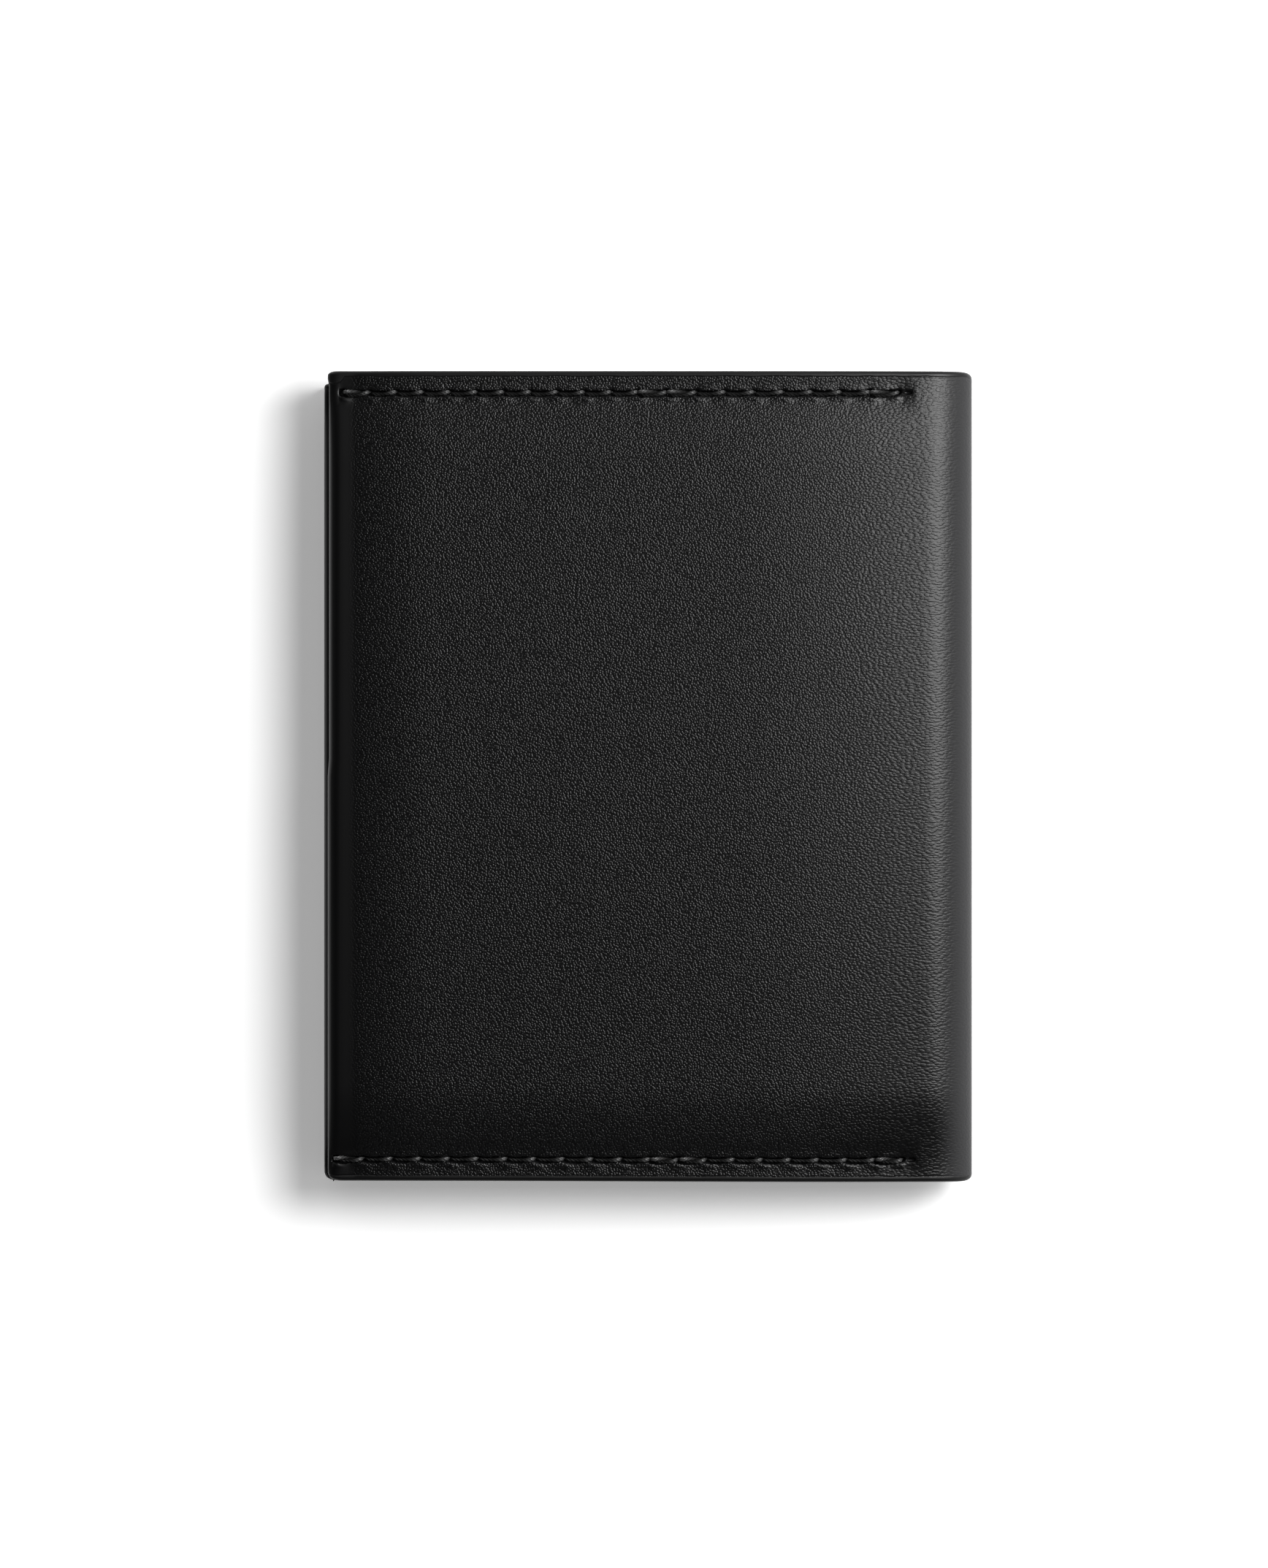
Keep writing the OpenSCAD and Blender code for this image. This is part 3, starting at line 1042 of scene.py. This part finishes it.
def makeLiningCloth():
    material, shader = newMaterial("blackLiningCloth")
    place = flatPlace(material, math.radians(45), (0.32, 0.32))
    weave = addNode(material, "ShaderNodeTexWave", wave_type="BANDS", bands_direction="X", wave_profile="SIN")
    weave.inputs["Scale"].default_value = 0.32
    weave.inputs["Distortion"].default_value = 0.6
    weave.inputs["Detail"].default_value = 1.0
    wire(material, place, weave.inputs["Vector"])
    threads = noiseAt(material, flatPlace(material, 0, (0.12, 0.9)), 2.0, 0.6)
    height = plus(material, weave.outputs["Fac"], times(material, threads, 0.7))
    addBump(material, shader, height, 0.6, 0.05 * mm)
    colour = mixColour(material, weave.outputs["Fac"], (0.005, 0.005, 0.007), (0.020, 0.020, 0.024))
    wire(material, colour, shader.inputs["Base Color"])
    wire(material, fromTo(material, threads, 0.3, 0.7, 0.62, 0.80), shader.inputs["Roughness"])
    shader.inputs["Sheen Weight"].default_value = 0.10
    return material


def makeBoardStuff():
    material, shader = newMaterial("greyBoard")
    fibres = noiseAt(material, flatPlace(material, 0.4, (0.5, 2.5)), 4.0, 0.65, 0.8)
    colour = mixColour(material, fibres, (0.20, 0.19, 0.17), (0.36, 0.34, 0.31))
    wire(material, colour, shader.inputs["Base Color"])
    wire(material, fromTo(material, fibres, 0.2, 0.8, 0.78, 0.92), shader.inputs["Roughness"])
    addBump(material, shader, fibres, 0.4, 0.05 * mm)
    return material


def makeEdgePaint():
    material, shader = newMaterial("blackEdgePaint")
    place = addNode(material, "ShaderNodeTexCoord")
    grow = addNode(material, "ShaderNodeMapping")
    grow.inputs["Scale"].default_value = (180, 900, 900)
    wire(material, place.outputs["Object"], grow.inputs[0])
    uneven = addNode(material, "ShaderNodeTexNoise")
    uneven.inputs["Scale"].default_value = 1.0
    uneven.inputs["Detail"].default_value = 3.0
    wire(material, grow.outputs[0], uneven.inputs["Vector"])
    layers = addNode(material, "ShaderNodeTexWave", wave_type="BANDS", bands_direction="Z",
                     wave_profile="SIN")
    layers.inputs["Scale"].default_value = 0.11
    layers.inputs["Distortion"].default_value = 1.2
    layers.inputs["Detail"].default_value = 1.0
    wire(material, grow.outputs[0], layers.inputs["Vector"])
    height = plus(material, uneven.outputs[0], times(material, layers.outputs["Fac"], 0.8))
    addBump(material, shader, height, 0.5, 0.08 * mm)
    colour = mixColour(material, uneven.outputs[0], (0.009, 0.009, 0.0095), (0.016, 0.016, 0.0165))
    wire(material, colour, shader.inputs["Base Color"])
    wire(material, fromTo(material, uneven.outputs[0], 0.3, 0.7, 0.34, 0.50), shader.inputs["Roughness"])
    return material


def makeThreadStuff():
    material, shader = newMaterial("blackThread")
    place = addNode(material, "ShaderNodeTexCoord")
    grow = addNode(material, "ShaderNodeMapping")
    grow.inputs["Rotation"].default_value = (0, 0, 0.7)
    grow.inputs["Scale"].default_value = (3500, 14000, 9000)
    wire(material, place.outputs["Object"], grow.inputs[0])
    fibres = addNode(material, "ShaderNodeTexNoise")
    fibres.inputs["Scale"].default_value = 1.0
    fibres.inputs["Detail"].default_value = 2.0
    wire(material, grow.outputs[0], fibres.inputs["Vector"])
    addBump(material, shader, fibres.outputs[0], 0.6, 0.03 * mm)
    # painted shade and highlight: the thread is coloured near black where it lies low in its slot, as if in
    # shade, and paler where it stands out of the slot, as if catching the light; there it is also given a
    # lower roughness
    paintedTipLight = addNode(material, "ShaderNodeAttribute", attribute_name="paintedTipLight")
    buried = mixColour(material, fibres.outputs[0], (0.0010, 0.0010, 0.0010), (0.0030, 0.0030, 0.0030))
    proud = mixColour(material, fibres.outputs[0], (0.020, 0.020, 0.020), (0.060, 0.060, 0.060))
    colour = mixColour(material, paintedTipLight.outputs["Fac"], buried, proud)
    wire(material, colour, shader.inputs["Base Color"])
    dullness = mixValue(material, paintedTipLight.outputs["Fac"], 0.62, 0.26)
    fuzz = fromTo(material, fibres.outputs[0], 0.3, 0.7, -0.04, 0.08)
    wire(material, plus(material, dullness, fuzz), shader.inputs["Roughness"])
    shader.inputs["Specular IOR Level"].default_value = 0.5
    return material


leather = makeLeather()
liningCloth = makeLiningCloth()
boardStuff = makeBoardStuff()
edgePaint = makeEdgePaint()
threadStuff = makeThreadStuff()


def dress(piece, material, slotName, *nodes):
    piece.data.materials.clear()
    piece.data.materials.append(material)
    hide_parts(*nodes)


dress(coverFront, leather, "cover_leather", "front_cover", "front_turned_edge", "front_pocket")
dress(coverBack, leather, "cover_leather", "back_cover", "back_turned_edge", "back_slot_front")
dress(coverSpine, leather, "cover_leather", "spine_cover_lower", "spine_cover_upper")
dress(slotPanelRear, leather, "inner_leather", "back_slot_rear")
dress(liningFront, liningCloth, "lining_cloth", "front_lining")
dress(liningBack, liningCloth, "lining_cloth", "back_lining")
dress(liningSpine, liningCloth, "lining_cloth", "spine_lining_lower", "spine_lining_upper")
dress(boardFront, boardStuff, "stiffener", "front_board")
dress(boardBack, boardStuff, "stiffener", "back_board")
for piece, node in zip(edgeFills, ("front_top", "front_bottom", "back_top", "back_bottom")):
    dress(piece, edgePaint, "edge_paint", node + "_edge_paint")
for piece, node in zip(seamPieces, ("front_top", "front_bottom", "back_top", "back_bottom")):
    dress(piece, threadStuff, "thread", node + "_seam")
print("materials on")


# What moves with what.

bendEnd = 10.5 * mm  # a distance along the leather near the end of the bend


def pointOn(leaf, u):
    x, y, z = foldPoints(np.array([[u, 0.0, 0.0]]), leaf)[0]
    return (float(x), 0.0, float(z))


for leaf, pieces in ((frontLeaf, (coverFront, liningFront)), (backLeaf, (coverBack, liningBack))):
    bendStart = pointOn(leaf, 1.15 * spine["cut"])
    for piece in pieces:
        pointOn(leaf, bendEnd)
        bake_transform(piece)
for piece in (coverSpine, liningSpine):
    pointOn(backLeaf, 0.75 * spine["cut"])
    pointOn(frontLeaf, 0.75 * spine["cut"])
    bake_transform(piece)
for piece in (boardFront, edgeFills[0], edgeFills[1], seamPieces[0], seamPieces[1]):
    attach(piece, "front_leaf")
for piece in (boardBack, slotPanelRear, edgeFills[2], edgeFills[3], seamPieces[2], seamPieces[3]):
    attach(piece, "back_leaf")


# points along the middle of the strip over the bend, at the depth of the spine's lining; the strip
# across the bend is narrower than the least side a sheet may have, so its own area is given
bendLine = np.zeros((40, 3))
bendLine[:, 0] = np.linspace(-1, 1, 40) * spine["cut"]
bendLine[:, 2] = -boardDepth
bendLine = foldPoints(bendLine, frontLeaf)


# Floor, light and camera.

floorLook = {"side": 6.0, "white": (0.95, 0.95, 0.95), "glow": 0.27}
bpy.ops.object.select_all(action="DESELECT")
bpy.ops.mesh.primitive_plane_add(size=floorLook["side"], location=(0, 0, cadLow.z))
floor = bpy.context.object
floor.name = "floor"
floorPaint, floorShader = newMaterial("whiteFloor")
floorShader.inputs["Base Color"].default_value = (*floorLook["white"], 1)
floorShader.inputs["Roughness"].default_value = 0.9
floorShader.inputs["Emission Color"].default_value = (1, 1, 1, 1)
floorShader.inputs["Emission Strength"].default_value = floorLook["glow"]
floorShader.inputs["Specular IOR Level"].default_value = 0.1
floor.data.materials.append(floorPaint)

lights = {
    "key": {"from": (0.204, 0.100, 0.375), "size": 0.25, "long": 0.25, "watts": 1.9},
    "strip": {"from": (0.38, 0.14, 0.36), "size": 0.15, "long": 0.40, "watts": 0.70},
}


def addLight(name, place):
    bpy.ops.object.light_add(type="AREA", location=place["from"])
    lamp = bpy.context.object
    lamp.name = name
    lamp.data.shape = "ELLIPSE"
    lamp.data.size, lamp.data.size_y = place["size"], place["long"]
    lamp.data.energy = place["watts"]
    aim = -lamp.location.normalized()
    lamp.rotation_mode = "QUATERNION"
    lamp.rotation_quaternion = aim.to_track_quat("-Z", "Y")


for lightName, place in lights.items():
    addLight(lightName, place)

# the room is white round the sides and dark overhead, and dim toward the lower left of the wallet
room = {"bright": 1.3, "darkAbove": 0.88, "brightBelow": 0.30, "overhead": 0.022, "dimSide": 0.16}
world = bpy.data.worlds.new("studio")
bpy.context.scene.world = world
world.use_nodes = True
toward = addNode(world, "ShaderNodeTexCoord")
way = addNode(world, "ShaderNodeSeparateXYZ")
wire(world, toward.outputs["Generated"], way.inputs[0])
ring = fromTo(world, way.outputs[2], room["darkAbove"], room["brightBelow"], room["overhead"], room["bright"])
across = plus(world, way.outputs[0], way.outputs[1])
lean = fromTo(world, across, -0.6, 0.6, room["dimSide"], 1.0)
glow = times(world, ring, lean)
wire(world, glow, world.node_tree.nodes["Background"].inputs["Strength"])
world.node_tree.nodes["Background"].inputs["Color"].default_value = (1, 1, 1, 1)
bpy.context.scene.view_settings.view_transform = "Standard"

cameraSetup = {
    "lens": 280.0,
    "sensor": 36.0,
    "frameHeight": 193.1 * mm,  # how much the picture takes in, from its bottom to its top
    "centre": (-1.73 * mm, -0.90 * mm),
}
distance = cameraSetup["lens"] / cameraSetup["sensor"] * cameraSetup["frameHeight"]
bpy.ops.object.camera_add(location=(*cameraSetup["centre"], fullThick + distance), rotation=(0, 0, 0))
camera = bpy.context.object
camera.name = "camera"
camera.data.lens = cameraSetup["lens"]
camera.data.sensor_width = cameraSetup["sensor"]
camera.data.clip_start, camera.data.clip_end = 0.05, 20
bpy.context.scene.camera = camera
print("stage set")
